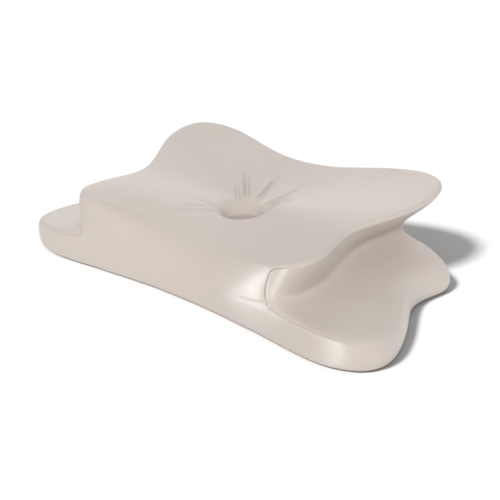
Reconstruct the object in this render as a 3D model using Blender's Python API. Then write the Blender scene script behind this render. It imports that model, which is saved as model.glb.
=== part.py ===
"""Cervical pillow: one moulded, filled body in one tight knit cover.

A low butterfly-shaped layer stands flat on the bed. A second butterfly rises from it and
reaches out over its sides, so that an arm slips into the recess on each short side. The
front drops low between two near lobes, two higher lobes stand at the back, and a tuft in
the middle of the top draws the cover down into a dimple with creases round it.

The body is one closed surface. Outlines of the low layer, of the neck in the recess and of
the upper rim are each given by a few stations round the pillow. Profile rows carry them from
the middle of the base, up the side and over the top to the tuft, and a smooth cubic surface
runs through the cage that stations and rows make.

Sizes are millimetres in the tables and metres in the mesh. +X runs along the pillow, -Y is
its front, +Z is up, and the origin is under the middle of its box.
"""
import bpy
import numpy as np

MM = 0.001

# Heights of the layers above the bed, in mm
BAND = 45.0            # top of the low layer at its wings
CENTRE = 93.0          # top of the pillow in the middle, beside the tuft
SIDE_LIFT = 14.0       # rise of the top from the middle to the sides
SIDE_REACH = 182.0     # half length at which the side lift is reached
BACK_LIFT = 15.0       # rise of the top from the middle to the back edge
BACK_REACH = 154.0
SCOOP = 27.0           # drop of the front edge between the near lobes
SCOOP_HALF = 125.0     # half length of that drop
SCOOP_DEPTH = 60.0     # how far it runs back
FRONT_EDGE = -150.0

# Stations round the right half, from the middle of the front to the middle of the back.
# low, neck and rim are the three outlines, in mm. roll is the softness of the rim's edge,
# and ledge is 1 where the low layer stands out as a wing and 0 where the front is flush.
STATIONS = (
    # name            low x  low y  neck x neck y  rim x  rim y  roll  ledge
    ("front middle",    0.0, -150.0,    0.0, -148.0,    0.0, -112.0, 1.3, 0.0),
    ("front quarter",  84.0, -154.0,   82.0, -152.0,   80.0, -119.0, 1.3, 0.0),
    ("front shoulder", 160.0, -162.0, 146.0, -160.0,  142.0, -149.0, 1.2, 0.3),
    ("front tip",      253.0, -176.0, 174.0, -144.0,  186.0, -144.0, 1.0, 1.0),
    ("near corner",    313.0, -140.0, 189.0, -102.0,  202.0, -100.0, 1.0, 1.0),
    ("near side",      301.0, -62.0,  182.0, -50.0,   189.0, -50.0,  1.0, 1.0),
    ("waist",          262.0, 10.0,   172.0, 5.0,     184.0, -8.0,   0.9, 1.0),
    ("far side",       282.0, 66.0,   170.0, 62.0,    221.0, 54.0,   0.9, 1.0),
    ("far tip",        291.0, 100.0,  186.0, 112.0,   246.0, 112.0,  0.7, 1.0),
    ("far corner",     248.0, 120.0,  196.0, 134.0,   232.0, 176.0,  0.9, 1.0),
    ("back shoulder",  166.0, 146.0,  148.0, 138.0,   154.0, 190.0,  1.1, 1.0),
    ("back quarter",   80.0, 150.0,   78.0, 142.0,    75.0, 165.0,   1.3, 1.0),
    ("back middle",    0.0, 152.0,    0.0, 144.0,     0.0, 156.0,    1.4, 1.0),
)

# The left half mirrors the right one, but for its front corner, which is squarer.
LEFT_CORNER = {
    "front shoulder": (-160.0, -162.0, -158.0, -161.0, -148.0, -148.0, 2.0, 0.1),
    "front tip":      (-253.0, -176.0, -206.0, -150.0, -208.0, -146.0, 2.0, 1.0),
}

# Profile of a side with a wing, from the base corner up to the rim.
# plan is 0 on the low outline, 1 on the neck and 2 on the rim, inset moves inwards from
# there in mm, level is 0 at the bed, 1 at the band, 2 at the neck and 3 at the rim, and
# lift adds mm of height.
WING_PROFILE = (
    # name              plan  inset  level  lift
    ("base corner",     0.00,  1.5,  0.00,   1.0),
    ("band low",        0.00, -1.0,  0.00,  14.0),
    ("band high",       0.00, -1.0,  0.00,  30.0),
    ("band shoulder",   0.00,  1.0,  1.00,  -4.0),
    ("band edge",       0.00,  8.0,  1.00,  -0.5),
    ("wing floor",      0.40,  0.0,  1.00,   0.0),
    ("recess floor",    0.75,  0.0,  1.00,   1.0),
    ("recess foot",     0.95,  0.0,  1.00,   3.5),
    ("neck",            1.00,  0.0,  2.00,   0.0),
    ("recess wall",     1.30,  0.0,  2.24,   0.0),
    ("underside",       1.80,  0.0,  2.66,   0.0),
    ("rim underside",   2.00,  1.0,  3.00,  -9.0),
    ("rim",             2.00,  0.0,  3.00,  -6.0),
    ("rim crest",       2.00,  3.0,  3.00,  -1.0),
)
NECK_RISE = 0.22       # height of the neck, as a share of the way from band to rim
EDGE_SHARE = 0.3       # the band's edge takes at most this share of the wing's width
FLUSH_POWER = 2.6      # roundness of the flush front: 2 is an ellipse, more is squarer
FLUSH_SLOPE = 0.35     # slope at which the flush front runs on into the top

# Rings of the base and of the top, each a share of the way out from its middle
BASE_RINGS = (0.0, 0.4, 0.8)
BASE_INSET = 9.0
TOP_INSET = 12.0
TOP_RINGS = (0.80, 0.64, 0.50, 0.38, 0.28, 0.20, 0.15, 0.11, 0.08, 0.055, 0.03, 0.0)
RING_RADIUS = 190.0    # the rings near the tuft are circles of this radius times their share
ROUND_FROM = 0.50      # rings outside this share keep the rim's outline
ROUND_TO = 0.20        # rings inside this share are round

# The tuft in the top, in mm
TUFT = (13.0, -15.0)
PIT_DEPTH = 18.0
PIT_RADIUS = 21.0
DISH_DEPTH = 6.0
DISH_RADIUS = 55.0

# Creases that the tuft draws in the cover, each a soft trough from one point to the other
CREASES = (
    # name               from x from y   to x   to y  depth  width
    ("left front",       -10.0, -40.0,  -88.0, -108.0,  1.6,  9.0),
    ("left",             -14.0, -30.0,  -80.0,  -46.0,  1.6,  8.0),
    ("far left outer",    -8.0,   4.0,  -66.0,   66.0,  2.2,  8.0),
    ("far left inner",     0.0,  12.0,  -54.0,   94.0,  1.8,  9.0),
    ("back",              12.0,  14.0,   -8.0,  113.0,  1.8,  7.0),
    ("right inner",       38.0,  -8.0,   46.0,   92.0,  1.8,  8.0),
    ("right outer",       42.0, -20.0,   62.0,   48.0,  2.0,  7.0),
)

STEPS_PER_STATION = 4
ROW_STEP = 0.75
COVER_COLOUR = (0.62, 0.54, 0.48, 1.0)
COVER_ROUGHNESS = 0.5


def clear_scene():
    for thing in list(bpy.data.objects):
        bpy.data.objects.remove(thing, do_unlink=True)


def round_the_body():
    """Outlines, roll and ledge at every station, once round the pillow from the front."""
    right = np.array([row[1:] for row in STATIONS])
    left = right[-2:0:-1].copy()
    left[:, [0, 2, 4]] *= -1.0
    names = [row[0] for row in STATIONS[-2:0:-1]]
    for name, values in LEFT_CORNER.items():
        left[names.index(name)] = values
    table = np.vstack([right, left])
    return table[:, 0:2], table[:, 2:4], table[:, 4:6], table[:, 6], table[:, 7]


def inwards(outline):
    """Unit vectors that point into an outline which runs anticlockwise."""
    along = np.roll(outline, -1, axis=0) - np.roll(outline, 1, axis=0)
    along /= np.linalg.norm(along, axis=1)[:, None]
    return np.stack([-along[:, 1], along[:, 0]], axis=1)


def top_height(x, y):
    """Height of the top: level middle, sides and back that rise, a front that drops."""
    sides = SIDE_LIFT * (np.abs(x) / SIDE_REACH) ** 1.5
    back = BACK_LIFT * (np.maximum(y, 0.0) / BACK_REACH) ** 2
    across = np.exp(-np.abs(x / SCOOP_HALF) ** 3)
    along = np.exp(-((y - FRONT_EDGE) / SCOOP_DEPTH) ** 2)
    return CENTRE + sides + back - SCOOP * across * along


def wing_row(outlines, levels, plan, inset, level, lift):
    """One row of a side with a wing: a mix of two outlines at a mix of two levels."""
    first = min(int(plan), 1)
    share = plan - first
    place = outlines[first] * (1.0 - share) + outlines[first + 1] * share
    if plan == 0.0:
        width = ((outlines[1] - outlines[0]) * inwards(outlines[0])).sum(axis=1)
        inset = np.minimum(inset, EDGE_SHARE * np.maximum(width, 0.0))
    place = place + inset[:, None] * inwards(outlines[0] if plan < 1.0 else outlines[2])
    below = min(int(level), 2)
    part = level - below
    height = levels[below] * (1.0 - part) + levels[below + 1] * part + lift
    return place, height


def flush_row(low, rim, rim_height, height):
    """One row of the flush front: a leaning superellipse from the base corner to the rim."""
    rise = np.clip(height / rim_height, 0.0, 1.0)
    out = (1.0 - rise ** FLUSH_POWER) ** (1.0 / FLUSH_POWER)
    lean = FLUSH_SLOPE * np.linalg.norm(rim - low, axis=1)
    return rim + (low - rim) * out[:, None], height + lean * (1.0 - out - rise)


def base_rows(low):
    """Flat rows of the base, from its middle to just inside the base corner."""
    rows = [(low * share, 0.0) for share in BASE_RINGS]
    rows.append((low + BASE_INSET * inwards(low), 0.0))
    return rows


def side_rows(low, neck, rim, roll, ledge):
    """Rows from the base corner to the rim, a wing where ledge is 1, flush where it is 0."""
    count = len(low)
    rim_height = top_height(rim[:, 0], rim[:, 1])
    bed = np.zeros(count)
    band = np.full(count, BAND)
    levels = (bed, band, band + NECK_RISE * (rim_height - band), rim_height)
    names = [row[0] for row in WING_PROFILE]
    edge = names.index("band edge")
    rows = []
    for index, (_, plan, inset, level, lift) in enumerate(WING_PROFILE):
        softness = roll if level == 3.0 else np.ones(count)
        wing, wing_height = wing_row((low, neck, rim), levels, plan,
                                     inset * softness, level, lift * softness)
        share = max(index - edge, 0) / (len(WING_PROFILE) - 1 - edge)
        flush_height = wing_height
        if index > edge:
            flush_height = band + (rim_height - band) * np.sin(0.5 * np.pi * share)
        flush, flush_height = flush_row(low, rim, rim_height, flush_height)
        place = flush + (wing - flush) * ledge[:, None]
        height = flush_height + (wing_height - flush_height) * ledge
        rows.append((place, height))
    return rows


def top_rows(rim):
    """Rows of the top: the rim's outline shrinks and turns into circles round the tuft."""
    tuft = np.array(TUFT)
    spoke = rim - tuft
    angle = np.arctan2(spoke[:, 1], spoke[:, 0])
    circle = RING_RADIUS * np.stack([np.cos(angle), np.sin(angle)], axis=1)
    edge = rim + TOP_INSET * inwards(rim)
    rows = [(edge, top_height(edge[:, 0], edge[:, 1]))]
    for share in TOP_RINGS:
        turn = np.clip((ROUND_FROM - share) / (ROUND_FROM - ROUND_TO), 0.0, 1.0)
        turn = turn * turn * (3.0 - 2.0 * turn)
        place = tuft + share * (spoke * (1.0 - turn) + circle * turn)
        rows.append((place, top_height(place[:, 0], place[:, 1])))
    return rows


def cage():
    """Control points, one row for each profile row and one column for each station."""
    low, neck, rim, roll, ledge = round_the_body()
    rows = base_rows(low) + side_rows(low, neck, rim, roll, ledge) + top_rows(rim)
    points = np.zeros((len(rows), len(low), 3))
    for row, (place, height) in enumerate(rows):
        points[row, :, :2] = place
        points[row, :, 2] = height
    return points


def basis(steps):
    """Weights of the four neighbours in a uniform cubic B-spline."""
    t = steps - np.floor(steps)
    weights = np.stack([(1 - t) ** 3, 3 * t ** 3 - 6 * t ** 2 + 4,
                        -3 * t ** 3 + 3 * t ** 2 + 3 * t + 1, t ** 3], axis=-1)
    return weights / 6.0


def smooth_surface(points, row_steps, column_steps):
    """The cubic surface over the cage, closed round the body and through both poles."""
    half = points.shape[1] // 2
    before = np.roll(points[1:2], half, axis=1)
    after = np.roll(points[-2:-1], half, axis=1)
    padded = np.concatenate([before, points, after, points[-1:]], axis=0)
    row = np.minimum(np.floor(row_steps).astype(int), len(points) - 1)
    rows = padded[row[:, None] + np.arange(4)]
    along = np.einsum("ri,rick->rck", basis(row_steps), rows)
    column = np.floor(column_steps).astype(int)
    columns = (column[:, None] + np.arange(-1, 3)) % points.shape[1]
    return np.einsum("cj,rcjk->rck", basis(column_steps), along[:, columns])


def tuft_drop(x, y):
    """Depth of the dimple: a wide dish with a steeper pit in its middle."""
    distance = np.hypot(x - TUFT[0], y - TUFT[1])
    dish = DISH_DEPTH * np.exp(-(distance / DISH_RADIUS) ** 2)
    return dish + PIT_DEPTH * np.exp(-(distance / PIT_RADIUS) ** 3)


def crease_drop(x, y):
    """Depth of the creases: each is a trough that fades at both of its ends."""
    drop = np.zeros_like(x)
    for _, x0, y0, x1, y1, depth, width in CREASES:
        length = np.hypot(x1 - x0, y1 - y0)
        ux, uy = (x1 - x0) / length, (y1 - y0) / length
        along = ((x - x0) * ux + (y - y0) * uy) / length
        across = (x - x0) * uy - (y - y0) * ux
        fade = np.clip(along / 0.15 + 0.5, 0.0, 1.0) * np.clip((1.0 - along) / 0.7, 0.0, 1.0)
        drop += depth * fade * np.exp(-(across / (0.5 * width)) ** 2)
    return drop


def pillow_points():
    """Points of the whole body in mm, row by row from the base's middle to the tuft."""
    points = cage()
    last = len(points) - 1
    start_of_top = last - len(TOP_RINGS)
    row_steps = np.append(0.0, np.arange(2.0, last, ROW_STEP))
    row_steps = np.append(row_steps, last)
    column_steps = np.arange(points.shape[1] * STEPS_PER_STATION) / STEPS_PER_STATION
    body = smooth_surface(points, row_steps, column_steps)
    on_top = np.clip(row_steps - start_of_top, 0.0, 1.0)[:, None]
    x, y = body[:, :, 0], body[:, :, 1]
    body[:, :, 2] -= on_top * (tuft_drop(x, y) + crease_drop(x, y))
    middle = 0.5 * (body.reshape(-1, 3).min(axis=0) + body.reshape(-1, 3).max(axis=0))
    body[:, :, :2] -= middle[:2]
    return body


def closed_mesh(name, body):
    """A closed mesh from rows of points, with one point at each pole."""
    rows, columns = body.shape[:2]
    ring = body[1:-1].reshape(-1, 3)
    points = np.vstack([body[:1, 0], ring, body[-1:, 0]])
    first, last = 0, len(points) - 1
    faces = []
    for column in range(columns):
        after = (column + 1) % columns
        faces.append((first, 1 + after, 1 + column))
        for row in range(rows - 3):
            low, high = 1 + row * columns, 1 + (row + 1) * columns
            faces.append((low + column, low + after, high + after, high + column))
        top = 1 + (rows - 3) * columns
        faces.append((top + column, top + after, last))
    mesh = bpy.data.meshes.new(name)
    mesh.from_pydata((points * MM).tolist(), [], faces)
    mesh.update()
    return mesh


def cover_material():
    material = bpy.data.materials.new("knit_cover")
    material.use_nodes = True
    shader = material.node_tree.nodes["Principled BSDF"]
    shader.inputs["Base Color"].default_value = COVER_COLOUR
    shader.inputs["Roughness"].default_value = COVER_ROUGHNESS
    shader.inputs["Metallic"].default_value = 0.0
    return material


def build():
    clear_scene()
    mesh = closed_mesh("pillow", pillow_points())
    mesh.materials.append(cover_material())
    mesh.shade_smooth()
    pillow = bpy.data.objects.new("pillow", mesh)
    bpy.context.scene.collection.objects.link(pillow)


build()
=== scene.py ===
# %% [markdown]
# # A butterfly-shaped neck pillow in a satin knit cover
#
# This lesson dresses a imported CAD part. The part is one closed solid, and it already has the
# pillow's true size and main shape. What is left is what makes it read as a sewn cover over
# foam: fine seams, the knots at their ends, sharp creases round the tuft, and a soft shine.

import bpy
import numpy as np
from mathutils import Matrix, Vector


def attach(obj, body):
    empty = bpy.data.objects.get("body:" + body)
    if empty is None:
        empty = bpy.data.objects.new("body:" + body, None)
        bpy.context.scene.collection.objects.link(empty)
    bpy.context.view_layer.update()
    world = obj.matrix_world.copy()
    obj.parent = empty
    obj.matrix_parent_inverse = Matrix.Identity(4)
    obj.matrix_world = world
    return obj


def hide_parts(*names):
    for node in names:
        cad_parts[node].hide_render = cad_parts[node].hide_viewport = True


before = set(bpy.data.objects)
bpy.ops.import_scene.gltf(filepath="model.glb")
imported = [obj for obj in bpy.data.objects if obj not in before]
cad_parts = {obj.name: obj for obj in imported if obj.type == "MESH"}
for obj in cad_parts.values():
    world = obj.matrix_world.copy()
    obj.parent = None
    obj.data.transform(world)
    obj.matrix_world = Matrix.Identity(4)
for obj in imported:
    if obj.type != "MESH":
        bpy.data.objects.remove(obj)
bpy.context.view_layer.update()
print("The packed part has", len(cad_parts), "node")

# %% [markdown]
# ## Stations round the pillow
#
# Seen from above, the pillow is a low butterfly with a second butterfly on it. Such a body
# could be sculpted by hand, or cut from a block with booleans, but a table of a few stations
# says it more clearly. Each station names a point of three outlines: the low layer, the neck
# in the arm recess, and the upper rim. The same table builds the CAD part, so that the cover
# lies exactly on it.

# %% Outlines, in millimetres
MM = 0.001
BAND = 45.0        # top of the low layer at its wings
STATIONS = (
    # name            low x  low y  neck x neck y  rim x  rim y  roll  ledge
    ("front middle",    0.0, -150.0,    0.0, -148.0,    0.0, -112.0, 1.3, 0.0),
    ("front quarter",  84.0, -154.0,   82.0, -152.0,   80.0, -119.0, 1.3, 0.0),
    ("front shoulder", 160.0, -162.0, 146.0, -160.0,  142.0, -149.0, 1.2, 0.3),
    ("front tip",      253.0, -176.0, 174.0, -144.0,  186.0, -144.0, 1.0, 1.0),
    ("near corner",    313.0, -140.0, 189.0, -102.0,  202.0, -100.0, 1.0, 1.0),
    ("near side",      301.0, -62.0,  182.0, -50.0,   189.0, -50.0,  1.0, 1.0),
    ("waist",          262.0, 10.0,   172.0, 5.0,     184.0, -8.0,   0.9, 1.0),
    ("far side",       282.0, 66.0,   170.0, 62.0,    221.0, 54.0,   0.9, 1.0),
    ("far tip",        291.0, 100.0,  186.0, 112.0,   246.0, 112.0,  0.7, 1.0),
    ("far corner",     248.0, 120.0,  196.0, 134.0,   232.0, 176.0,  0.9, 1.0),
    ("back shoulder",  166.0, 146.0,  148.0, 138.0,   154.0, 190.0,  1.1, 1.0),
    ("back quarter",   80.0, 150.0,   78.0, 142.0,    75.0, 165.0,   1.3, 1.0),
    ("back middle",    0.0, 152.0,    0.0, 144.0,     0.0, 156.0,    1.4, 1.0),
)
LEFT_CORNER = {
    "front shoulder": (-160.0, -162.0, -158.0, -161.0, -148.0, -148.0, 2.0, 0.1),
    "front tip":      (-253.0, -176.0, -206.0, -150.0, -208.0, -146.0, 2.0, 1.0),
}


def round_the_body():
    """The table once round the body: the right half, then its mirror image back to the front,
    with the left front corner's own values put in."""
    right = np.array([row[1:] for row in STATIONS])
    left = right[-2:0:-1].copy()
    left[:, [0, 2, 4]] *= -1.0
    names = [row[0] for row in STATIONS[-2:0:-1]]
    for name, values in LEFT_CORNER.items():
        left[names.index(name)] = values
    table = np.vstack([right, left])
    return table[:, 0:2], table[:, 2:4], table[:, 4:6], table[:, 6], table[:, 7]


def inwards(outline):
    """Unit vectors into an outline: the direction to the next station less the direction to
    the one before, turned a quarter turn to the left."""
    along = np.roll(outline, -1, axis=0) - np.roll(outline, 1, axis=0)
    along /= np.linalg.norm(along, axis=1)[:, None]
    return np.stack([-along[:, 1], along[:, 0]], axis=1)


low, neck, rim, roll, ledge = round_the_body()
COLUMNS = len(low)
print(COLUMNS, "stations go once round the pillow")

# %% [markdown]
# ## The height of the top
#
# The sleeper's neck lies on the low front edge and the head in the middle. The top therefore
# rises towards the sides and the back, and drops in a soft scoop between the near lobes. One
# formula of x and y gives it: powers for the rises, and bell curves for the scoop.

# %% Height of the top, in millimetres
CENTRE, SIDE_LIFT, SIDE_REACH = 93.0, 14.0, 182.0
BACK_LIFT, BACK_REACH = 15.0, 154.0
SCOOP, SCOOP_HALF, SCOOP_DEPTH, FRONT_EDGE = 27.0, 125.0, 60.0, -150.0


def top_height(x, y):
    """Height = centre + side lift * (|x| / reach)^1.5 + back lift * (y / reach)^2, less the
    scoop times a bell across x and a bell that runs back from the front edge."""
    sides = SIDE_LIFT * (np.abs(x) / SIDE_REACH) ** 1.5
    back = BACK_LIFT * (np.maximum(y, 0.0) / BACK_REACH) ** 2
    across = np.exp(-np.abs(x / SCOOP_HALF) ** 3)
    along = np.exp(-((y - FRONT_EDGE) / SCOOP_DEPTH) ** 2)
    return CENTRE + sides + back - SCOOP * across * along


print("Top at the middle %.0f mm, at the front edge %.0f mm, at the back edge %.0f mm"
      % (top_height(0.0, 0.0), top_height(0.0, FRONT_EDGE), top_height(0.0, BACK_REACH)))

# %% [markdown]
# ## Profile rows: base, side and top
#
# A side view of the pillow at one station is a profile: flat base, low layer, wing, recess
# wall, overhanging underside, rim and top. A profile could be swept along one outline, but
# here three outlines of different shapes drive it, so every row mixes two of them. In the
# front the wing fades into a flush wall, which is a leaning superellipse.

# %% The side profile
NECK_RISE = 0.22
EDGE_SHARE = 0.3
FLUSH_POWER, FLUSH_SLOPE = 2.6, 0.35
WING_PROFILE = (
    # name              plan  inset  level  lift
    ("base corner",     0.00,  1.5,  0.00,   1.0),
    ("band low",        0.00, -1.0,  0.00,  14.0),
    ("band high",       0.00, -0.4,  1.00, -11.0),
    ("band shoulder",   0.00,  1.0,  1.00,  -4.0),
    ("band edge",       0.00,  8.0,  1.00,  -0.5),
    ("wing floor",      0.40,  0.0,  1.00,   0.0),
    ("recess floor",    0.75,  0.0,  1.00,   2.0),
    ("recess foot",     0.95,  0.0,  1.00,   7.0),
    ("neck",            1.00,  0.0,  2.00,   0.0),
    ("recess wall",     1.30,  0.0,  2.24,   0.0),
    ("underside",       1.80,  0.0,  2.66,   0.0),
    ("rim underside",   2.00,  1.0,  3.00,  -9.0),
    ("rim",             2.00,  0.0,  3.00,  -6.0),
    ("rim crest",       2.00,  3.0,  3.00,  -1.0),
)
PROFILE_NAMES = [row[0] for row in WING_PROFILE]
EDGE_ROWS = ("band high", "band shoulder", "band edge")
# how round the wing's edge is at each station, from the front middle to the back middle
EDGE_SOFTNESS = (1.0, 1.0, 0.5, 0.55, 2.3, 3.0, 2.2, 3.0, 3.0, 2.4, 1.2, 1.0, 1.0)
edge_softness = np.array(EDGE_SOFTNESS + EDGE_SOFTNESS[-2:0:-1])


def wing_row(outlines, levels, plan, inset, level, lift):
    """A row with a wing: place = one outline plus a share of the way to the next, moved
    inwards; height = one level plus a share of the way to the next, plus the lift."""
    first = min(int(plan), 1)
    share = plan - first
    place = outlines[first] * (1.0 - share) + outlines[first + 1] * share
    if plan == 0.0:
        width = ((outlines[1] - outlines[0]) * inwards(outlines[0])).sum(axis=1)
        inset = np.minimum(inset, EDGE_SHARE * np.maximum(width, 0.0))
    place = place + inset[:, None] * inwards(outlines[0] if plan < 1.0 else outlines[2])
    below = min(int(level), 2)
    part = level - below
    return place, levels[below] * (1.0 - part) + levels[below + 1] * part + lift


def flush_row(rim_height, height):
    """A row of the flush front: with rise = height / rim height, it stands out from the rim
    by (1 - rise^p)^(1/p) of the way to the low outline, and leans up as it nears the rim."""
    rise = np.clip(height / rim_height, 0.0, 1.0)
    out = (1.0 - rise ** FLUSH_POWER) ** (1.0 / FLUSH_POWER)
    lean = FLUSH_SLOPE * np.linalg.norm(rim - low, axis=1)
    return rim + (low - rim) * out[:, None], height + lean * (1.0 - out - rise)


def side_rows():
    """Every row of the side: the wing's row where ledge is 1, the flush row where it is 0."""
    rim_height = top_height(rim[:, 0], rim[:, 1])
    band = np.full(COLUMNS, BAND)
    levels = (np.zeros(COLUMNS), band, band + NECK_RISE * (rim_height - band), rim_height)
    edge = PROFILE_NAMES.index("band edge")
    rows = []
    for index, (_, plan, inset, level, lift) in enumerate(WING_PROFILE):
        softness = roll if level == 3.0 else np.ones(COLUMNS)
        if PROFILE_NAMES[index] in EDGE_ROWS:
            softness = edge_softness
        wing, wing_height = wing_row((low, neck, rim), levels, plan, inset * softness,
                                     level, lift * softness)
        flush_height = wing_height
        if index > edge:
            share = (index - edge) / (len(WING_PROFILE) - 1 - edge)
            flush_height = band + (rim_height - band) * np.sin(0.5 * np.pi * share)
        flush, flush_height = flush_row(rim_height, flush_height)
        rows.append((flush + (wing - flush) * ledge[:, None],
                     flush_height + (wing_height - flush_height) * ledge))
    return rows


print(len(WING_PROFILE), "profile rows go from the base corner to the rim")

# %% [markdown]
# The base is flat, so its rows are shrunken copies of the low outline. On the top the rows
# shrink too, and turn into circles as they near the tuft: the creases run out from there like
# spokes, and a mesh that is laid out in spokes and rings holds them best.

# %% Base rows, top rows and the whole cage
BASE_RINGS, BASE_INSET = (0.0, 0.4, 0.8), 9.0
TOP_RINGS = (0.80, 0.64, 0.50, 0.38, 0.28, 0.20, 0.15, 0.11, 0.08, 0.055, 0.03, 0.0)
TOP_INSET, RING_RADIUS = 12.0, 190.0
ROUND_FROM, ROUND_TO = 0.50, 0.20
TUFT = np.array((13.0, -15.0))


def ease(share):
    """Smooth step: 3 s^2 - 2 s^3, held at 0 below 0 and at 1 above 1."""
    s = np.clip(share, 0.0, 1.0)
    return s * s * (3.0 - 2.0 * s)


def base_rows():
    """Low outline times each share, and last the low outline moved inwards."""
    rows = [(low * share, 0.0) for share in BASE_RINGS]
    return rows + [(low + BASE_INSET * inwards(low), 0.0)]


def top_rows():
    """Tuft + share * spoke, where the spoke goes to the rim in the outer rows and to a circle
    in the inner ones, with an eased change between."""
    spoke = rim - TUFT
    angle = np.arctan2(spoke[:, 1], spoke[:, 0])
    circle = RING_RADIUS * np.stack([np.cos(angle), np.sin(angle)], axis=1)
    edge = rim + TOP_INSET * inwards(rim)
    places = [edge]
    for share in TOP_RINGS:
        turn = ease((ROUND_FROM - share) / (ROUND_FROM - ROUND_TO))
        places.append(TUFT + share * (spoke * (1.0 - turn) + circle * turn))
    return [(place, top_height(place[:, 0], place[:, 1])) for place in places]


def make_cage():
    """Control points: one layer for each row, one column for each station."""
    rows = base_rows() + side_rows() + top_rows()
    points = np.zeros((len(rows), COLUMNS, 3))
    for row, (place, height) in enumerate(rows):
        points[row, :, :2] = place
        points[row, :, 2] = height
    return points


cage = make_cage()
LAST_ROW = len(cage) - 1
SIDE_START = len(BASE_RINGS) + 1
RIM_ROW = SIDE_START + PROFILE_NAMES.index("rim")
TOP_START = LAST_ROW - len(TOP_RINGS)
print("The cage has %d rows of %d points; the rim is row %d" % (*cage.shape[:2], RIM_ROW))

# %% [markdown]
# ## One smooth surface over the cage
#
# Blender's subdivision surface would round this cage too, but then no vertex row could be
# made to follow a seam. A cubic B-spline gives the same soft form at any pair of parameters,
# so the rows and columns of the mesh can be crowded together exactly where a seam runs.

# %% The cubic surface at any row and column
def cubic_weights(t):
    """Weights of four neighbours: (1-t)^3, 3t^3-6t^2+4, -3t^3+3t^2+3t+1 and t^3, over 6."""
    return np.stack([(1 - t) ** 3, 3 * t ** 3 - 6 * t ** 2 + 4,
                     -3 * t ** 3 + 3 * t ** 2 + 3 * t + 1, t ** 3]) / 6.0


def on_surface(row, column):
    """Points for arrays of row and column: the sum over 4 by 4 cage points of row weight
    times column weight times point. Rows carry on through the poles to the far side."""
    half = COLUMNS // 2
    rows = np.concatenate([np.roll(cage[1:2], half, axis=1), cage,
                           np.roll(cage[-2:-1], half, axis=1), cage[-1:]])
    first_row = np.minimum(np.floor(row).astype(int), LAST_ROW)
    first_column = np.floor(column).astype(int)
    row_weights = cubic_weights(row - np.floor(row))
    column_weights = cubic_weights(column - first_column)
    points = np.zeros(row.shape + (3,))
    for i in range(4):
        for j in range(4):
            weight = row_weights[i] * column_weights[j]
            points += weight[..., None] * rows[first_row + i, (first_column + j - 1) % COLUMNS]
    return points


# %% [markdown]
# ## Where the seams run
#
# The cover is cut from four kinds of panel. One long panel lies over the top and down the
# front and the back. A side panel lines each arm recess. A low band goes round the foot. The
# band's seam follows the edge of each wing and climbs to a small knot at the front corner,
# and from there the side panel's seam runs up the corner and along the rim.
#
# A seam is written as a path on the surface: for some stations, the row it passes. Between
# these the path is interpolated, and it is mirrored for the left side.

# %% Seam paths in station and row
BAND_SEAM_ROW = 7.48
RIM_SEAM_ROW = 16.35
KNOT_RIGHT, KNOT_LEFT = 2.03, COLUMNS - 2.22
BACK_RIGHT, BACK_LEFT = 9.75, COLUMNS - 9.75
BAND_SEAM = (
    # station, row
    (0.0, 7.5), (1.0, 7.6), (1.50, 8.2), (2.03, 9.45), (2.13, 8.95), (2.35, 8.50), (2.60, 8.07),
    (2.86, 7.66), (3.10, 7.50), (3.60, 7.48), (12.0, 7.48), (20.4, 7.48), (20.9, 7.48),
    (21.15, 7.60), (21.45, 7.95), (21.68, 8.70), (21.78, 9.30), (22.3, 8.3), (23.0, 7.6),
    (24.0, 7.5),
)
FRONT_SEAM = (
    # row, station at the right
    (0.0, 2.03), (9.45, 2.03), (11.75, 2.09), (12.8, 2.10), (14.1, 2.16), (15.35, 2.23),
    (16.35, 2.45), (17.5, 2.60), (30.0, 2.60),
)


def along_table(table, at):
    """Straight-line interpolation in a table of pairs, softened by a mean of near values."""
    known, values = np.array(table).T
    spread = np.linspace(-0.12, 0.12, 7)
    return np.interp(at[..., None] + spread, known, values).mean(axis=-1)


sample = np.linspace(0.0, COLUMNS, 9)
print("The band's seam passes rows", along_table(BAND_SEAM, sample).round(1).tolist())

# %% [markdown]
# ## Crowding the mesh where seams run
#
# A groove 2 mm wide needs vertices about 0.6 mm apart, but a mesh that fine all over would be
# far too heavy. So a density is given for each parameter, its running sum is taken, and the
# lines are put at equal steps of that sum. The lines are then bent, so that one row lies on the
# band's seam and one column runs up the front corner.

# %% Rows and columns of the fine mesh
ROW_COUNT, COLUMN_COUNT = 252, 392


def crowded(start, end, count, base, bumps):
    """Parameters from start to end whose spacing is 1 / density, where density = base(t) plus
    a bell curve for each (centre, width, strength)."""
    t = np.linspace(start, end, 6001)
    density = base(t)
    for centre, width, strength in bumps:
        density = density + strength * np.exp(-((t - centre) / width) ** 2)
    total = np.concatenate([[0.0], np.cumsum(0.5 * (density[1:] + density[:-1]) * np.diff(t))])
    return np.interp(np.linspace(0.0, total[-1], count), total, t)


def row_density(t):
    """Few rows under the flat base, most on the side and round the tuft."""
    return 1.6 + 6.0 * ease((t - 3.5) / 1.0)


row_line = crowded(0.0, LAST_ROW, ROW_COUNT, row_density,
                   ((BAND_SEAM_ROW, 0.22, 42.0), (RIM_SEAM_ROW, 0.25, 26.0), (19.0, 1.4, 4.0)))
column_line = crowded(0.0, COLUMNS, COLUMN_COUNT + 1, np.ones_like,
                      [(KNOT_RIGHT, 0.12, 11.0), (21.45, 0.22, 5.0), (21.78, 0.08, 4.0)]
                      + [(s, 0.08, 4.0) for s in (BACK_RIGHT, BACK_LEFT)])[:-1]


def pull(t, centre, reach_down, reach_up):
    """1 at the centre, falling in a straight line to 0 at each reach."""
    return np.clip(np.minimum(1.0 + (t - centre) / reach_down, 1.0 - (t - centre) / reach_up),
                   0.0, 1.0)


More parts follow.
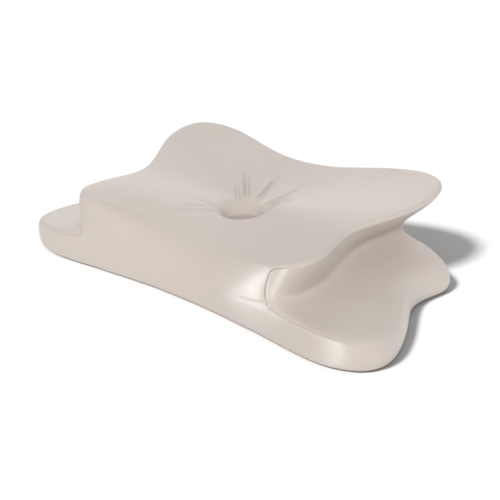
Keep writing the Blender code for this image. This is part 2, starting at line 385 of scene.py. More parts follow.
def bent_grid():
    """Row = line + pull towards the band's seam times the seam's offset from its usual row.
    Column = line + pull towards the front seam times that seam's offset."""
    t, s = np.meshgrid(row_line, column_line, indexing="ij")
    row = t + pull(t, BAND_SEAM_ROW, 2.4, 4.5) * (along_table(BAND_SEAM, s) - BAND_SEAM_ROW)
    offset = along_table(FRONT_SEAM, row) - KNOT_RIGHT
    column = s + offset * (pull(s, KNOT_RIGHT, 0.9, 1.6) - pull(s, KNOT_LEFT, 1.6, 0.9))
    return row, column % COLUMNS


row, column = bent_grid()
points = on_surface(row, column)
print("The fine mesh has %d rows of %d points" % points.shape[:2])

# %% [markdown]
# ## Dimple and creases
#
# A tuft in the top draws the cover down into a dimple. The cloth has to go somewhere, so it
# gathers in creases that run out from the dimple and fade. Simulated cloth would put such
# creases anywhere, so here each crease is a row of a table: a trough between two points, with
# a fine raised edge on one side, where the cloth stands up beside the fold.

# %% Relief of the top, in millimetres
PIT_DEPTH, PIT_NEAR, PIT_FAR = 28.0, 22.0, 29.0
PIT_POWER_NEAR, PIT_POWER_FAR = 8.0, 2.2
PIT_MIDDLE = TUFT + (3.0, -12.0)
DISH_DEPTH, DISH_RADIUS = 5.0, 55.0
SOFT_CREASES = (
    # name               from x from y   to x   to y  depth  width
    ("left front",       -10.0, -40.0,  -88.0, -108.0,  1.6,  9.0),
    ("left",             -14.0, -30.0,  -80.0,  -46.0,  1.6,  8.0),
    ("far left outer",    -8.0,   4.0,  -66.0,   66.0,  2.2,  8.0),
    ("far left inner",     0.0,  12.0,  -54.0,   94.0,  1.8,  9.0),
    ("back",              12.0,  14.0,   -8.0,  113.0,  1.8,  7.0),
    ("right inner",       38.0,  -8.0,   46.0,   92.0,  1.8,  8.0),
    ("right outer",       42.0, -20.0,   62.0,   48.0,  2.0,  7.0),
)


def tuft_drop(x, y):
    """Dish * exp(-(d / dish radius)^2) + pit * exp(-(d / r)^p), d from the pit's middle. The
    radius r is short towards the front, where a high power p makes the wall steep, and long at
    the back, where the cover slopes down softly."""
    distance = np.hypot(x - TUFT[0], y - TUFT[1])
    dish = DISH_DEPTH * np.exp(-(distance / DISH_RADIUS) ** 2)
    off_x, off_y = x - PIT_MIDDLE[0], y - PIT_MIDDLE[1]
    distance = np.hypot(off_x, off_y)
    front = 0.5 * (1.0 - (off_y - 0.7 * off_x) / np.maximum(1.22 * distance, 1e-6))
    radius = PIT_FAR + (PIT_NEAR - PIT_FAR) * front
    power = PIT_POWER_FAR + (PIT_POWER_NEAR - PIT_POWER_FAR) * front
    return dish + PIT_DEPTH * np.exp(-(distance / radius) ** power)


def trough(x, y, x0, y0, x1, y1, depth, width):
    """Depth * fade * exp(-(across / half width)^2): across is the distance from the line, and
    fade rises at the near end and falls over the last 0.7 of the length."""
    length = np.hypot(x1 - x0, y1 - y0)
    ux, uy = (x1 - x0) / length, (y1 - y0) / length
    along = ((x - x0) * ux + (y - y0) * uy) / length
    across = (x - x0) * uy - (y - y0) * ux
    fade = np.clip(along / 0.15 + 0.5, 0.0, 1.0) * np.clip((1.0 - along) / 0.7, 0.0, 1.0)
    return depth * fade * np.exp(-(across / (0.5 * width)) ** 2)


x, y = points[:, :, 0], points[:, :, 1]
drop = tuft_drop(x, y) + sum(trough(x, y, *crease[1:]) for crease in SOFT_CREASES)
on_top = np.clip(row - TOP_START, 0.0, 1.0)
points[:, :, 2] -= on_top * drop
corners = points.reshape(-1, 3).min(axis=0), points.reshape(-1, 3).max(axis=0)
SHIFT = -0.5 * (corners[0] + corners[1])[:2]
points[:, :, :2] += SHIFT
print("Deepest relief %.1f mm; the box is %s mm"
      % (drop.max(), (corners[1] - corners[0]).round(1).tolist()))

# %% [markdown]
# ## Sharp creases
#
# The troughs above are what the foam itself shows. The thin cover on it folds more sharply.
# These finer creases go along the surface's own normals, and each follows a path of a few
# points in plan, so it can curve a little. Little light reaches the bottom of a fold, so a
# shade is kept for the material: it grows with a crease's depth and deep down in the dimple.

# %% Fine creases: a path, a trough and a lip beside it
def normals_of(grid):
    """Unit normals: the cross product of the differences along the columns and the rows."""
    round_body = np.roll(grid, -1, axis=1) - np.roll(grid, 1, axis=1)
    up = np.gradient(grid, axis=0)
    cross = np.cross(round_body, up)
    size = np.linalg.norm(cross, axis=2, keepdims=True)
    return cross / np.maximum(size, 1e-9)


def beside_path(grid, path):
    """Signed distance to the nearest piece of a path in plan, and the share of the way along
    it. The distance is positive to the right of the way that the path runs."""
    path = np.array(path)
    steps = np.linalg.norm(np.diff(path, axis=0), axis=1)
    starts = np.concatenate([[0.0], np.cumsum(steps)])
    nearest = np.full(grid.shape[:2], np.inf)
    side = np.zeros(grid.shape[:2])
    share = np.zeros(grid.shape[:2])
    for a, b, size, start in zip(path[:-1], path[1:], steps, starts[:-1]):
        way = (b - a) / size
        off = grid[:, :, :2] - a
        along = np.clip(off @ way, 0.0, size)
        gap = off - along[:, :, None] * way
        far = np.hypot(gap[:, :, 0], gap[:, :, 1])
        closer = far < nearest
        sign = np.sign(off[:, :, 0] * way[1] - off[:, :, 1] * way[0])
        side = np.where(closer, sign, side)
        share = np.where(closer, (start + along) / starts[-1], share)
        nearest = np.minimum(nearest, far)
    return nearest * side, share


FINE_CREASES = (
    # name, depth, width, lip (+ right, - left), path in plan
    ("far left outer", 1.3, 3.6, 1.0, ((-17, -4), (-38, 21), (-62, 50))),
    ("far left inner", 2.2, 5.0, 1.6, ((-9, 5), (-33, 35), (-54, 64), (-68, 96))),
    ("back", 2.8, 3.0, 2.2, ((6, 13), (1, 34), (-6, 70), (-6, 91), (-1, 116))),
    ("right soft", 1.8, 4.6, 1.3, ((24, 0), (28, 14), (37, 42), (43, 60), (52, 84))),
    ("right fine", 2.0, 3.4, 3.2, ((26, -8), (30, 2), (35, 14), (43, 27), (56, 47))),
    ("left upper", 0.5, 2.6, -0.5, ((-17, -38), (-31, -45), (-57, -63), (-76, -79))),
    ("left middle", 0.5, 2.6, 0.5, ((-12, -47), (-25, -60), (-38, -76))),
    ("left lower", 0.4, 3.2, 0.4, ((-20, -56), (-35, -75), (-50, -92), (-70, -113))),
)
CREASE_SHADE, CREASE_SHADE_MOST = 0.22, 0.5       # per mm of depth, and at the most
PIT_SHADE, PIT_DARK_FROM, PIT_DARK_OVER = 0.95, 16.5, 4.5


def fine_crease(grid, depth, width, lip, path):
    """Height = -depth * exp(-(d / half)^2) + |lip| * exp(-((d -+ 1.6 half) / half)^2), faded
    in over the first eighth of the path and out over its last six tenths."""
    distance, share = beside_path(grid, path)
    half = 0.5 * width
    fade = ease(share / 0.12) * ease((1.0 - share) / 0.6)
    lip_at = distance - np.sign(lip) * 1.6 * half
    return fade * (-depth * np.exp(-(distance / half) ** 2)
                   + abs(lip) * np.exp(-(lip_at / half) ** 2))


lift = np.zeros(points.shape[:2])
for _, depth, width, lip, path in FINE_CREASES:
    lift += on_top * fine_crease(points, depth, width, lip, path)
hollow_shade = np.clip(-CREASE_SHADE * lift, 0.0, CREASE_SHADE_MOST)
hollow_shade += PIT_SHADE * on_top * ease((drop - PIT_DARK_FROM) / PIT_DARK_OVER)
print("Fine creases move the cover between %.2f and %.2f mm" % (lift.min(), lift.max()))

# %% [markdown]
# ## Creases in the arm recess
#
# Where the side panel turns from the recess wall to the wing, the cloth is a little too long
# and lies in three faint folds. They are troughs too, but in space rather than in plan, as the
# wall is steep there.

# %% Recess folds
RECESS_FOLDS = (
    # depth, width, and three points in mm
    (0.6, 4.5, ((176, -146, 54), (191, -119, 51), (208, -95, 46))),
    (0.4, 4.5, ((190, -100, 56), (188, -60, 52), (184, -34, 54))),
    (0.3, 5.0, ((186, -20, 60), (187, 20, 50), (192, 60, 47))),
)


def space_fold(grid, depth, width, path):
    """Height = -depth * exp(-(d / half)^2), d the distance in space from a path of straight
    pieces, faded towards both of its ends."""
    path = np.array(path, dtype=float)
    steps = np.linalg.norm(np.diff(path, axis=0), axis=1)
    starts = np.concatenate([[0.0], np.cumsum(steps)])
    nearest = np.full(grid.shape[:2], np.inf)
    share = np.zeros(grid.shape[:2])
    for a, b, size, start in zip(path[:-1], path[1:], steps, starts[:-1]):
        way = (b - a) / size
        off = grid - a
        along = np.clip(off @ way, 0.0, size)
        far = np.linalg.norm(off - along[:, :, None] * way, axis=2)
        share = np.where(far < nearest, (start + along) / starts[-1], share)
        nearest = np.minimum(nearest, far)
    fade = ease(share / 0.3) * ease((1.0 - share) / 0.5)
    return -depth * fade * np.exp(-(nearest / (0.5 * width)) ** 2)


MIRROR = np.array((-1.0, 1.0, 1.0))
for depth, width, path in RECESS_FOLDS:
    lift += space_fold(points, depth, width, path)
    lift += space_fold(points, depth, width, np.array(path) * MIRROR)
print("With the recess folds the cover sinks up to %.2f mm" % -lift.min())

# %% [markdown]
# ## Seams
#
# A seam joins two panels: the thread pulls a narrow groove, the seam allowance inside raises
# a welt beside it, and the tight thread puckers the cloth a little. Seams could be separate
# tubes, but they would look laid on. Here groove, welt and pucker are formulas of the distance
# from the seam. The band and the rim have a row of vertices on their seam, so this distance is
# the length along the grid, and for the upright seams it is measured in space.

# %% Distance from a row of the grid
def length_from_row(grid, index):
    """Signed length along each column from the row with this index, as a running sum, times
    the sine of the angle at which row and column cross there."""
    steps = np.linalg.norm(np.diff(grid, axis=0), axis=2)
    total = np.concatenate([np.zeros((1, grid.shape[1])), np.cumsum(steps, axis=0)])
    along = np.roll(grid[index], -1, axis=0) - np.roll(grid[index], 1, axis=0)
    across = grid[index + 1] - grid[index - 1]
    sine = np.linalg.norm(np.cross(along, across), axis=1)
    sine /= np.linalg.norm(along, axis=1) * np.linalg.norm(across, axis=1)
    return (total - total[index]) * sine


def nearest_line(lines, value):
    """Index of the line whose parameter is nearest to the value."""
    return int(np.abs(lines - value).argmin())


def between(value, start, end, soft):
    """1 from start to end, eased to 0 over the soft length outside them."""
    return ease((value - start) / soft + 1.0) * ease((end - value) / soft + 1.0)


band_line = nearest_line(row_line, BAND_SEAM_ROW)
rim_line = nearest_line(row_line, RIM_SEAM_ROW)
front_right = nearest_line(column_line, KNOT_RIGHT)
front_left = nearest_line(column_line, KNOT_LEFT)
back_right = nearest_line(column_line, BACK_RIGHT)
back_left = nearest_line(column_line, BACK_LEFT)
from_band = length_from_row(points, band_line)
from_rim = length_from_row(points, rim_line)
print("Rows beside the band's seam are %.2f mm apart"
      % np.abs(from_band[band_line + 1]).mean())

# %% [markdown]
# The welt lies on the lower side of the band's seam and on the recess side of the upright
# ones, which is where the light catches it. The upright seam in the front is the sharpest
# line on the whole pillow, and the one round the rim is hardly seen.

# %% Groove, welt and pucker
PUCKER_HEIGHT, PUCKER_STEP, PUCKER_REACH = 0.07, 7.5, 5.0
BAND_GROOVE, BAND_WELT, BAND_SHADE = 0.55, 0.8, 0.12
RIM_GROOVE, RIM_WELT = 0.3, 0.1
WELT_AWAY, NEAR_RIGHT_KNOT, NEAR_LEFT_KNOT = 0.25, 2.9, 21.3


def seam(distance, length, groove, welt, welt_side, half=1.1):
    """Height = -groove * exp(-(d / half)^2) + welt * exp(-((d - side * 2.2 half) / (1.3
    half))^2), plus a sine along the seam, its pucker, times exp(-(d / 5 mm)^2)."""
    line = -groove * np.exp(-(distance / half) ** 2)
    raised = welt * np.exp(-((distance - welt_side * 2.2 * half) / (1.3 * half)) ** 2)
    pucker = np.sin(2.0 * np.pi * length / PUCKER_STEP) * np.exp(-(distance / PUCKER_REACH) ** 2)
    return line + raised + PUCKER_HEIGHT * pucker


def running_length(grid, index):
    """Length along one row of the grid, from its first column."""
    step = np.linalg.norm(np.roll(grid[index], -1, axis=0) - grid[index], axis=1)
    return np.concatenate([[0.0], np.cumsum(step)[:-1]])


s_line = column_line[None, :]
on_sides = between(s_line, KNOT_RIGHT, KNOT_LEFT, 0.02)
near_knots = between(s_line, KNOT_RIGHT, NEAR_RIGHT_KNOT, 0.5) \
    + between(s_line, NEAR_LEFT_KNOT, KNOT_LEFT, 0.4)
welt_share = on_sides * (WELT_AWAY + (1.0 - WELT_AWAY) * near_knots)
lift += welt_share * seam(from_band, running_length(points, band_line)[None, :],
                          BAND_GROOVE, BAND_WELT, -1.0)
rim_share = between(s_line, KNOT_RIGHT + 0.1, BACK_RIGHT, 0.15) \
    + between(s_line, BACK_LEFT, KNOT_LEFT - 0.1, 0.15)
lift += rim_share * seam(from_rim, running_length(points, rim_line)[None, :],
                         RIM_GROOVE, RIM_WELT, -1.0)
seam_shade = BAND_SHADE * welt_share * np.exp(-from_band ** 2)
print("The band's and the rim's seams move the cover down to %.2f mm" % lift.min())

# %% [markdown]
# The upright seams climb from the band to the rim, two in the front and two in the back. They
# could be bent grid lines like the others, but a path in space is simpler where rows crowd
# together. Last, the seams, the hollows and the few millimetres above the floor, where hardly
# any light comes, go into one shade that darkens the cloth.

# %% Upright seams and the shade
UPRIGHT_HALF, UPRIGHT_WELT_HALF, UPRIGHT_TAPER, FULL_SHADE_GROOVE = 0.95, 1.5, 0.35, 1.5
FOOT_SHADE, FOOT_HEIGHT, FOOT_FADE = 1.4, 5.0, 3.0
UPRIGHT_SEAMS = (
    # groove, welt, which side the welt is on in stations, and the path as (station, row)
    (1.5, 0.5, 0.035, ((2.03, 9.45), (2.06, 10.6), (2.09, 11.75), (2.10, 12.8), (2.15, 14.0),
                       (2.21, 15.1), (2.32, 15.9), (2.55, 16.3), (2.85, 16.45), (3.2, 16.45))),
    (0.5, 1.1, -0.03, ((21.78, 9.3), (21.60, 10.5), (21.44, 11.6), (21.37, 12.9), (21.36, 14.2),
                       (21.33, 15.2), (21.25, 16.2))),
    (0.8, 0.4, -0.03, ((9.75, 7.48), (9.75, 12.0), (9.70, 16.35))),
    (0.8, 0.4, 0.03, ((14.25, 7.48), (14.25, 12.0), (14.30, 16.35))),
)


def path_in_space(path, offset=0.0):
    """The path between its points at 24 even steps, as places on the surface in mm. The
    offset moves it along the stations."""
    path = np.array(path)
    known = np.linspace(0.0, 1.0, len(path))
    even = np.linspace(0.0, 1.0, 25)
    stations = np.interp(even, known, path[:, 0]) + offset
    lines = np.interp(even, known, path[:, 1])
    place = on_surface(lines[None, :], stations[None, :] % COLUMNS)[0]
    place[:, :2] += SHIFT
    return place


def beside_line(grid, line):
    """Distance from each vertex to the nearest piece of a line in space, and the share of the
    way along the line."""
    nearest, share = np.full(grid.shape[:2], np.inf), np.zeros(grid.shape[:2])
    for index, (a, b) in enumerate(zip(line[:-1], line[1:])):
        way, off = b - a, grid - a
        along = np.clip((off @ way) / (way @ way), 0.0, 1.0)
        far = np.linalg.norm(off - along[:, :, None] * way, axis=2)
        share = np.where(far < nearest, (index + along) / (len(line) - 1), share)
        nearest = np.minimum(nearest, far)
    return nearest, share


for groove, welt, offset, path in UPRIGHT_SEAMS:
    far, share = beside_line(points, path_in_space(path))
    line = ease((1.0 - share) / UPRIGHT_TAPER) * np.exp(-(far / UPRIGHT_HALF) ** 2)
    far, share = beside_line(points, path_in_space(path, offset))
    raised = ease((1.0 - share) / UPRIGHT_TAPER) * np.exp(-(far / UPRIGHT_WELT_HALF) ** 2)
    lift += welt * raised - groove * line
    seam_shade = np.maximum(seam_shade, line * groove / FULL_SHADE_GROOVE)
# painted contact shadow: the cloth is darkened over its lowest few millimetres, just above the floor
painted_foot_shadow = ease((FOOT_HEIGHT - points[:, :, 2]) / FOOT_FADE) * (row >= SIDE_START - 1.0)
seam_shade = np.maximum(np.maximum(seam_shade, hollow_shade), FOOT_SHADE * painted_foot_shadow)
print("Seams and creases move the cover between %.2f and %.2f mm" % (lift.min(), lift.max()))

# %% [markdown]
# ## Knots and the slack beside them
#
# Each seam ends in a few back stitches that show as a small bright knot. From the right knot
# a soft crease runs on into the front panel, because the cloth there is pulled towards it.

# %% Knots, the crease beside the right one, and an uneven surface
KNOT_RADIUS, KNOT_HEIGHT = 2.6, 1.5
SLACK_DEPTH, SLACK_REACH, SLACK_LEFT = 0.9, 3.0, 0.6


def knot(grid, place):
    """Height = knot height * exp(-(d / radius)^2), d the distance in space from its place."""
    distance = np.linalg.norm(grid - place, axis=2)
    return KNOT_HEIGHT * np.exp(-(distance / KNOT_RADIUS) ** 2)


for index in (front_right, front_left, back_right, back_left):
    lift += knot(points, points[band_line, index])
slack = between(s_line, 1.45, KNOT_RIGHT - 0.06, 0.35) \
    + SLACK_LEFT * between(s_line, KNOT_LEFT + 0.06, COLUMNS - 1.5, 0.35)
lift += slack * -SLACK_DEPTH * np.exp(-(from_band / SLACK_REACH) ** 2)
WAVES = (
    # mm of height, then turns per metre along x, y and z, and a phase
    (0.22, 9.0, 5.0, 4.0, 0.4), (0.18, -6.0, 11.0, 7.0, 1.9), (0.10, 17.0, 13.0, 11.0, 3.1),
    (0.08, -21.0, 8.0, 16.0, 5.2),
)
for size, fx, fy, fz, phase in WAVES:
    turns = (points * MM) @ np.array((fx, fy, fz))
    lift += size * np.sin(2.0 * np.pi * turns + phase)
on_base = ease((row - SIDE_START + 1.0) / 1.0)
fine_points = points + (lift * on_base)[:, :, None] * normals_of(points)
fine_points[:, :, 2] = np.maximum(fine_points[:, :, 2], 0.0)
print("The cover's box is %s mm" % np.ptp(fine_points.reshape(-1, 3), axis=0).round(1).tolist())

# %% [markdown]
# ## Panels laid flat
#
# A knit has a direction, so it needs coordinates that run with the cloth. Unwrapping by hand
# would do, but the panels are known: top and base are laid flat by x and y, the front and the
# back carry on from the rim down the wall, and the recess panels and the band are measured
# round the body and up the profile. All coordinates are in metres of cloth.

# %% Cloth coordinates for every corner of every face
def panel_coordinates(grid):
    """Three pairs of cloth coordinates for each vertex: in plan; down a wall, as x and as the
    rim's y plus or minus the length below it; and round the body and up the profile."""
    plan = grid[:, :, :2]
    down = -np.minimum(from_rim, 0.0)
    wall_sign = np.where(grid[rim_line, :, 1] < 0.0, -1.0, 1.0)[None, :]
    wall = np.stack([grid[:, :, 0], grid[rim_line, :, 1][None, :] + wall_sign * down], axis=2)
    around = np.broadcast_to(running_length(grid, band_line)[None, :], grid.shape[:2])
    side = np.stack([around, from_band], axis=2)
    return plan * MM, wall * MM, side * MM


def closed_faces(rows, columns):
    """Corner numbers of all faces of a tube of rows by columns, with a fan at each pole. The
    last column's faces join the first column."""
    ring = 1 + np.arange((rows - 2) * columns).reshape(rows - 2, columns)
    after = np.roll(ring, -1, axis=1)
    quads = np.stack([ring[:-1], after[:-1], after[1:], ring[1:]], axis=-1).reshape(-1, 4)
    bottom = np.stack([np.zeros(columns, int), after[0], ring[0]], axis=-1)
    top = np.stack([ring[-1], after[-1], np.full(columns, ring[-1, -1] + 1)], axis=-1)
    return quads, bottom, top


def grid_corners(rows, columns):
    """Row and column of every corner of those faces, with columns counted past the end so
    that the last face's coordinates don't jump back."""
    r, c = np.meshgrid(np.arange(1, rows - 2), np.arange(columns), indexing="ij")
    quad_rows = np.stack([r, r, r + 1, r + 1], axis=-1).reshape(-1, 4)
    quad_columns = np.stack([c, c + 1, c + 1, c], axis=-1).reshape(-1, 4)
    c = np.arange(columns)
    bottom_rows = np.stack([0 * c, 0 * c + 1, 0 * c + 1], axis=-1)
    bottom_columns = np.stack([c, c + 1, c], axis=-1)
    fan_rows = np.stack([0 * c + rows - 2, 0 * c + rows - 2, 0 * c + rows - 1], axis=-1)
    top_columns = np.stack([c, c + 1, c], axis=-1)
    return ((quad_rows, quad_columns), (bottom_rows, bottom_columns), (fan_rows, top_columns))


rows, columns = points.shape[:2]
quads, bottom_fan, top_fan = closed_faces(rows, columns)
print(len(quads), "four-sided faces and", len(bottom_fan) + len(top_fan), "at the poles")

# %% [markdown]
# ## The mesh
#
# foreach_set writes whole arrays into the mesh, which is far quicker than adding vertices one
# by one. Two attributes ride along: the cloth coordinates as a UV map, and the shade, so that
# the material can darken seams and hollows.

# %% Build the cover
def cloth_uv(grid):
    """Cloth coordinates of each face corner: plan above the rim and under the base, wall on
    the front and the back, side in the recesses and on the band."""
    plan, wall, side = panel_coordinates(grid)
    whole = running_length(grid, band_line)
    turn = whole[-1] + np.linalg.norm(grid[band_line, 0] - grid[band_line, -1])
    parts = []
    for corner_rows, corner_columns in grid_corners(*grid.shape[:2]):
        wrapped = corner_columns % grid.shape[1]
        middle_row = corner_rows.mean(axis=1)[:, None]
        first = column_line[corner_columns[:, :1] % grid.shape[1]]
        recess = ((first >= KNOT_RIGHT) & (first < BACK_RIGHT)) \
            | ((first >= BACK_LEFT) & (first < KNOT_LEFT))
        base = middle_row < nearest_line(row_line, SIDE_START - 0.3)
        above = middle_row > rim_line
        below_band = (middle_row < band_line) & ((first >= KNOT_RIGHT) & (first < KNOT_LEFT))
        use_side = (recess & ~above | below_band) & ~base
        use_wall = ~use_side & ~above & ~base
        side_here = side[corner_rows, wrapped].copy()
        side_here[:, :, 0] += (corner_columns >= grid.shape[1]) * turn * MM
        uv = np.where(use_side[:, :, None], side_here, plan[corner_rows, wrapped])
        uv = np.where(use_wall[:, :, None], wall[corner_rows, wrapped], uv)
        parts.append(uv.reshape(-1, 2))
    return np.concatenate(parts)


def cover_mesh(name, grid):
    """A mesh with one vertex at each pole, faces outward, cloth coordinates and seam shade."""
    vertices = np.vstack([grid[:1, 0], grid[1:-1].reshape(-1, 3), grid[-1:, 0]]) * MM
    corners = np.concatenate([quads.ravel(), bottom_fan.ravel(), top_fan.ravel()])
    sizes = np.concatenate([np.full(len(quads), 4), np.full(len(bottom_fan) + len(top_fan), 3)])
    mesh = bpy.data.meshes.new(name)
    mesh.vertices.add(len(vertices))
    mesh.vertices.foreach_set("co", vertices.ravel().astype(np.float32))
    mesh.loops.add(len(corners))
    mesh.loops.foreach_set("vertex_index", corners.astype(np.int32))
    mesh.polygons.add(len(sizes))
    mesh.polygons.foreach_set("loop_start", (np.cumsum(sizes) - sizes).astype(np.int32))
    mesh.update(calc_edges=True)
    uv = mesh.uv_layers.new(name="cloth")
    uv.uv.foreach_set("vector", cloth_uv(points).ravel().astype(np.float32))
    shade = np.concatenate([seam_shade[:1, 0], seam_shade[1:-1].ravel(), seam_shade[-1:, 0]])
    attribute = mesh.attributes.new("seam_shade", "FLOAT", "POINT")
    attribute.data.foreach_set("value", shade.astype(np.float32))
    mesh.validate()
    mesh.shade_smooth()
    return mesh


seam_shade = np.broadcast_to(seam_shade, points.shape[:2])
cover = bpy.data.objects.new("pillow_cover", cover_mesh("pillow_cover", fine_points))
bpy.context.scene.collection.objects.link(cover)
print("The cover has", len(cover.data.vertices), "vertices and",
      sum(len(p.vertices) - 2 for p in cover.data.polygons), "triangles")

# %% [markdown]
# ## A small language for shader maths
#
# Node trees are hard to read when every sum is four lines. This class wraps an output socket,
# so that + - * / write Math nodes, and one method makes any other node from its type, its
# settings and its inputs.

# %% Sockets that can be added and multiplied
class Wire:
    """An output socket. Arithmetic on it makes a Math node and gives back its output."""

    def __init__(self, sheet, socket):
        self.sheet, self.socket = sheet, socket

    def __add__(self, other):
        return self.sheet.maths("ADD", self, other)

    def __sub__(self, other):
        return self.sheet.maths("SUBTRACT", self, other)

    def __mul__(self, other):
        return self.sheet.maths("MULTIPLY", self, other)

    def __truediv__(self, other):
        return self.sheet.maths("DIVIDE", self, other)

    def __radd__(self, other):
        return self.sheet.maths("ADD", other, self)


class NodeSheet:
    """A material's node tree, with its surface shader at hand."""

    def __init__(self, name):
        self.material = bpy.data.materials.new(name)
        self.material.use_nodes = True
        self.tree = self.material.node_tree
        self.shader = self.tree.nodes["Principled BSDF"]

    def set(self, socket, value):
        """Links a wire to the socket, or gives it a plain value."""
        if isinstance(value, Wire):
            self.tree.links.new(value.socket, socket)
        else:
            socket.default_value = value

    def node(self, kind, settings=None, output=0, **inputs):
        """A node of this kind with its settings, its inputs by name, and one output."""
        made = self.tree.nodes.new(kind)
        for key, value in (settings or {}).items():
            setattr(made, key, value)
        for key, value in inputs.items():
            self.set(made.inputs[key.replace("_", " ")], value)
        return Wire(self, made.outputs[output])

    def maths(self, operation, *values):
        """A Math node of this operation on wires or numbers."""
        made = self.tree.nodes.new("ShaderNodeMath")
        made.operation = operation
        for socket, value in zip(made.inputs, values):
            self.set(socket, value)
        return Wire(self, made.outputs[0])

    def mix_colour(self, share, first, second):
        """A colour between two, by a share from 0 to 1."""
        made = self.tree.nodes.new("ShaderNodeMix")
        made.data_type = "RGBA"
        self.set(made.inputs[0], share)
        self.set(made.inputs[6], first)
        self.set(made.inputs[7], second)
        return Wire(self, made.outputs[2])


print("The sheet of nodes is ready")

# %% [markdown]
# ## Satin knit
#
# The cover is a fine, dense knit with a satin face: pale beige, smooth to the eye from a step
# away, and with a broad shine where it turns. The stitches are columns of small V shapes about
# a millimetre wide, so they go into a bump and not into the mesh. Slow noise varies colour and
# roughness by a few hundredths, as any washed cloth does.

# %% The cover's material
CLOTH_COLOUR = (0.495, 0.442, 0.400, 1.0)
CLOTH_WARM = (0.475, 0.418, 0.372, 1.0)
# the colour that the seam_shade attribute mixes towards: painted shade in seam grooves, creases, the
# dimple and at the foot
PAINTED_SHADE_COLOUR = (0.300, 0.235, 0.200, 1.0)
WALE, COURSE = 0.0011, 0.0009     # width and height of one stitch, in metres
STITCH_SLANT, STITCH_SWING = 1.4, 0.35
ROUGHNESS, ROUGH_SLOW, ROUGH_FIBRE = 0.40, 0.06, 0.04
SATIN = {"Sheen Weight": 0.10, "Sheen Roughness": 0.45, "Specular IOR Level": 0.9,
         "Anisotropic": 0.8, "Anisotropic Rotation": 0.25}


def knit_material(name):
    """Stitch height = sin(pi w) * (1 - swing + swing * sin(2 pi (v / course + slant * |w - 1/2|)))
    with w the share of the way across a column of stitches: a row of small V shapes."""
    sheet = NodeSheet(name)
    place = sheet.node("ShaderNodeTexCoord", output=3)
    cloth = sheet.node("ShaderNodeUVMap", {"uv_map": "cloth"})
    split = sheet.node("ShaderNodeSeparateXYZ", Vector=cloth)
    along = Wire(sheet, split.socket.node.outputs[1])
    wale = sheet.maths("FRACT", split / WALE)
    arm = sheet.maths("ABSOLUTE", wale - 0.5)
    course = sheet.maths("SINE", (along / COURSE + arm * STITCH_SLANT) * (2.0 * np.pi))
    rib = sheet.maths("SINE", wale * np.pi)
    stitch = rib * (course * STITCH_SWING + (1.0 - STITCH_SWING))
    slow = sheet.node("ShaderNodeTexNoise", Vector=place, Scale=7.0, Detail=2.0)
    fibre = sheet.node("ShaderNodeTexNoise", Vector=place, Scale=900.0, Detail=2.0)
    # painted shade: the seam_shade attribute darkens the cloth in seam grooves, creases, the dimple
    # and just above the floor
    painted_shade_mask = sheet.node("ShaderNodeAttribute", {"attribute_name": "seam_shade"}, output=2)
    colour = sheet.mix_colour(slow, CLOTH_COLOUR, CLOTH_WARM)
    colour = sheet.mix_colour(painted_shade_mask * 0.7, colour, PAINTED_SHADE_COLOUR)
    sheet.set(sheet.shader.inputs["Base Color"], colour)
    sheet.set(sheet.shader.inputs["Roughness"],
              ROUGHNESS + slow * ROUGH_SLOW + fibre * ROUGH_FIBRE)
    bump = sheet.node("ShaderNodeBump", Strength=0.10, Distance=0.0003,
                      Height=stitch + fibre * 0.3)
    sheet.set(sheet.shader.inputs["Normal"], bump)
    for socket, value in SATIN.items():
        sheet.shader.inputs[socket].default_value = value
    return sheet.material


cover.data.materials.append(knit_material("satin_knit"))
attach(cover, "root")
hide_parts("pillow")
print("One stitch is %.1f by %.1f mm" % (WALE / MM, COURSE / MM))

# %% [markdown]
# ## Floor
#
# The pillow stands on a plain, pale surface. It is a single plane, and grey enough that its lamp
# alone brings it to white.

# %% Floor
FLOOR_GREY = (0.50, 0.50, 0.50, 1.0)
FLOOR_HALF = 6.0


def floor_plane(name, half):
    """A matt square at the height of the pillow's base, from -half to half in metres."""
    mesh = bpy.data.meshes.new(name)
    mesh.from_pydata([(-half, -half, 0.0), (half, -half, 0.0), (half, half, 0.0),
                      (-half, half, 0.0)], [], [(0, 1, 2, 3)])
    plane = bpy.data.objects.new(name, mesh)
    bpy.context.scene.collection.objects.link(plane)
    sheet = NodeSheet("white_floor")
    sheet.shader.inputs["Base Color"].default_value = FLOOR_GREY
    sheet.shader.inputs["Roughness"].default_value = 0.9
    sheet.shader.inputs["Specular IOR Level"].default_value = 0.1
    mesh.materials.append(sheet.material)
    return plane


floor = floor_plane("floor", FLOOR_HALF)
print("The floor is %.0f m wide" % (2.0 * FLOOR_HALF))

# %% [markdown]
# ## Light
#
# One lamp could light everything, but the floor has to come out white while the cloth stays
# beige, so each has a lamp of its own: the key light falls on the cloth from the right front,
# and the floor light draws the shadow. A white sky fills the shadows. Satin lives on its shine,
# so three lamps add shine alone: one in front, which stands for the bright floor's reflection
# and so comes from below the horizon, one high at the back left, and a small one close to the
# front corner.

# %% Sky and lamps
SKY_STRENGTH = 0.70
CORNER = Vector((0.140, -0.160, 0.070))        # the wall beside the upright seam, in metres
CORNER_LAMP_WAY, CORNER_LAMP_FAR = Vector((-0.708, -0.684, -0.174)), 0.14


def soft_sun(name, turn, height, spread, strength):
    """A far, even lamp: turn is its angle from the pillow's front towards the right, height
    its angle above the floor, and spread the angle it fills, all in degrees."""
    data = bpy.data.lights.new(name, "SUN")
    data.angle, data.energy = np.radians(spread), strength
    lamp = bpy.data.objects.new(name, data)
    level, side = np.radians(height), np.radians(turn)
    way = Vector((np.cos(level) * np.sin(side), -np.cos(level) * np.cos(side), np.sin(level)))
    lamp.rotation_euler = way.to_track_quat("Z", "Y").to_euler()
    bpy.context.scene.collection.objects.link(lamp)
    return lamp


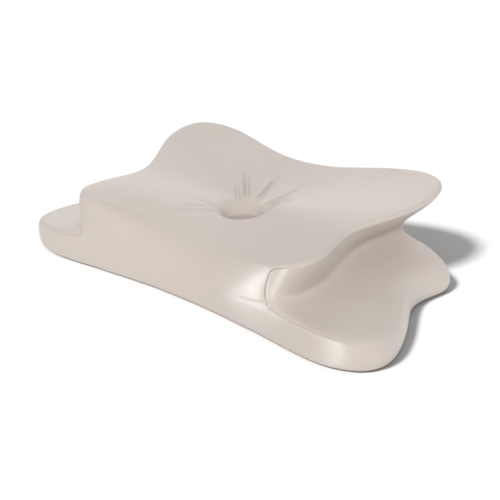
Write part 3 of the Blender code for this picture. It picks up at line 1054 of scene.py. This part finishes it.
def near_lamp(name, place, aim, size, spread, power):
    """A small square lamp at a place, turned to its aim, whose beam is spread degrees wide."""
    data = bpy.data.lights.new(name, "AREA")
    data.size, data.energy, data.spread = size, power, np.radians(spread)
    lamp = bpy.data.objects.new(name, data)
    lamp.location = place
    lamp.rotation_euler = (place - aim).to_track_quat("Z", "Y").to_euler()
    lamp.visible_camera = False
    bpy.context.scene.collection.objects.link(lamp)
    return lamp


def lit_group(name, thing):
    """A collection with one object, for lamps that light nothing else."""
    group = bpy.data.collections.new(name)
    group.objects.link(thing)
    return group


scene = bpy.context.scene
scene.world = bpy.data.worlds.new("white_room")
scene.world.use_nodes = True
sky = scene.world.node_tree.nodes["Background"]
sky.inputs["Color"].default_value = (1.0, 1.0, 1.0, 1.0)
sky.inputs["Strength"].default_value = SKY_STRENGTH
key = soft_sun("key", 32.0, 40.0, 14.0, 2.0)
front_gloss = soft_sun("gloss", 4.0, -12.0, 20.0, 2.0)
back_gloss = soft_sun("back_gloss", -136.0, 26.0, 40.0, 0.42)
floor_light = soft_sun("floor_light", -20.0, 50.0, 11.0, 5.7)
corner_gloss = near_lamp("corner_gloss", CORNER + CORNER_LAMP_FAR * CORNER_LAMP_WAY, CORNER,
                         0.04, 60.0, 0.017)
print("Lamps:", [lamp.name for lamp in (key, front_gloss, back_gloss, floor_light, corner_gloss)])

# %% [markdown]
# A lamp that gives shine alone is hidden from diffuse rays, and the key light, which gives none,
# from glossy ones. Each lamp is then limited to the floor or to the cover. The front gloss lamp
# also passes through the floor, because it stands for what the floor mirrors.

# %% What each lamp lights
on_floor = lit_group("lit_by_floor_light", floor)
floor_light.light_linking.receiver_collection = on_floor
on_pillow = lit_group("lit_by_key", cover)
key.visible_glossy = False
key.light_linking.receiver_collection = on_pillow
for lamp in (front_gloss, back_gloss, corner_gloss):
    lamp.visible_diffuse = False
    lamp.light_linking.receiver_collection = on_pillow
front_gloss.light_linking.blocker_collection = on_pillow
scene.view_settings.view_transform = "Standard"
print("Four lamps light the cover, and one the floor")

# %% [markdown]
# ## Camera
#
# The picture was solved for its camera: it looks down at 27 degrees from the pillow's right
# front, from 1.15 m away, with a lens of 55 mm on a 36 mm frame.

# %% Camera
EYE = (0.61931, -0.81077, 0.52615)
RIGHT, UP, BACK = (0.79661, 0.60450, 0.0), (-0.27281, 0.35950, 0.89237), (0.53944, -0.71087, 0.45130)
camera_data = bpy.data.cameras.new("camera")
camera_data.lens, camera_data.sensor_width = 54.71, 36.0
camera_data.dof.use_dof = False
camera = bpy.data.objects.new("camera", camera_data)
turn = Matrix((RIGHT, UP, BACK)).transposed()
camera.matrix_world = Matrix.Translation(EYE) @ turn.to_4x4()
scene.collection.objects.link(camera)
scene.camera = camera
print("The camera is %.2f m from the middle of the pillow" % Vector(EYE).length)
